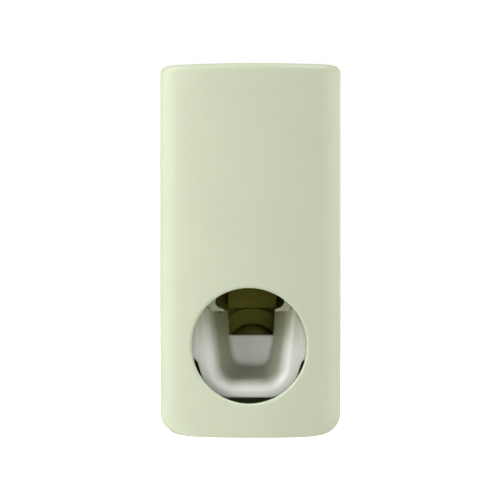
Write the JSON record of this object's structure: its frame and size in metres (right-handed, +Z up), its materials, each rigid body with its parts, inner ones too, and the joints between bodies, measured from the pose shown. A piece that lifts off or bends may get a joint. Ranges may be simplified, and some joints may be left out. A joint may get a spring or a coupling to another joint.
{
  "type": "toothpaste dispenser",
  "caption": "Wall-hung toothpaste dispenser: a pull-off cover with a round window over a hinged push cup that pumps paste onto the brush.",
  "frame": {"origin": "middle of the adhesive pad's wall face", "axes": "+Z up, +Y into the wall, the front with the window looks along -Y"},
  "size_m": [0.072, 0.058, 0.1465],
  "materials": {
    "sage_shell": "satin moulded ABS, sage green",
    "sage_inner": "plain moulded ABS, sage green",
    "olive_inner": "plain moulded ABS, dark olive",
    "white_bracket": "plain moulded ABS, off-white",
    "white_plastic": "moulded ABS, off-white",
    "white_gloss": "glossy moulded ABS, off-white",
    "foam_tape": "double-sided acrylic foam tape",
    "clear_silicone": "soft translucent silicone",
    "olive_silicone": "soft silicone, dark olive",
    "screw_steel": "zinc-plated steel",
    "pin_steel": "ground stainless steel"
  },
  "bodies": {
    "wall": {"wall_bracket": "white_bracket", "adhesive_pad": "foam_tape"},
    "chassis": {"back_plate": "sage_inner", "wall_bumpers": "clear_silicone", "pump_housing": "olive_inner", "housing_screws": "screw_steel", "duct_plugs": "olive_inner", "pump_diaphragm": "olive_silicone", "diaphragm_ring": "olive_inner", "ring_screws": "screw_steel", "inlet_valve": "olive_silicone", "tube_socket": "clear_silicone", "socket_collar": "white_plastic", "collar_screws": "screw_steel", "outlet_nozzle": "white_plastic", "nozzle_seal": "olive_silicone", "nozzle_tip": "clear_silicone", "pivot_pin": "pin_steel", "pin_clip": "pin_steel"},
    "cover": {"front_cover": "sage_shell"},
    "lever": {"push_lever": "white_gloss"}
  },
  "joints": [
    {"name": "lift_off", "type": "slide", "parent": "wall", "child": "chassis", "axis": [0, 0, 1], "range_m": [0, 0.056]},
    {"name": "cover_pull", "type": "slide", "parent": "chassis", "child": "cover", "axis": [0, -1, 0], "range_m": [0, 0.055]},
    {"name": "lever_swing", "type": "hinge", "parent": "chassis", "child": "lever", "pos_m": [0, -0.038, -0.0184], "axis": [1, 0, 0], "range_deg": [0, 12], "stiffness_Nm_per_rad": 0.6, "deforming": ["pump_diaphragm"]}
  ]
}
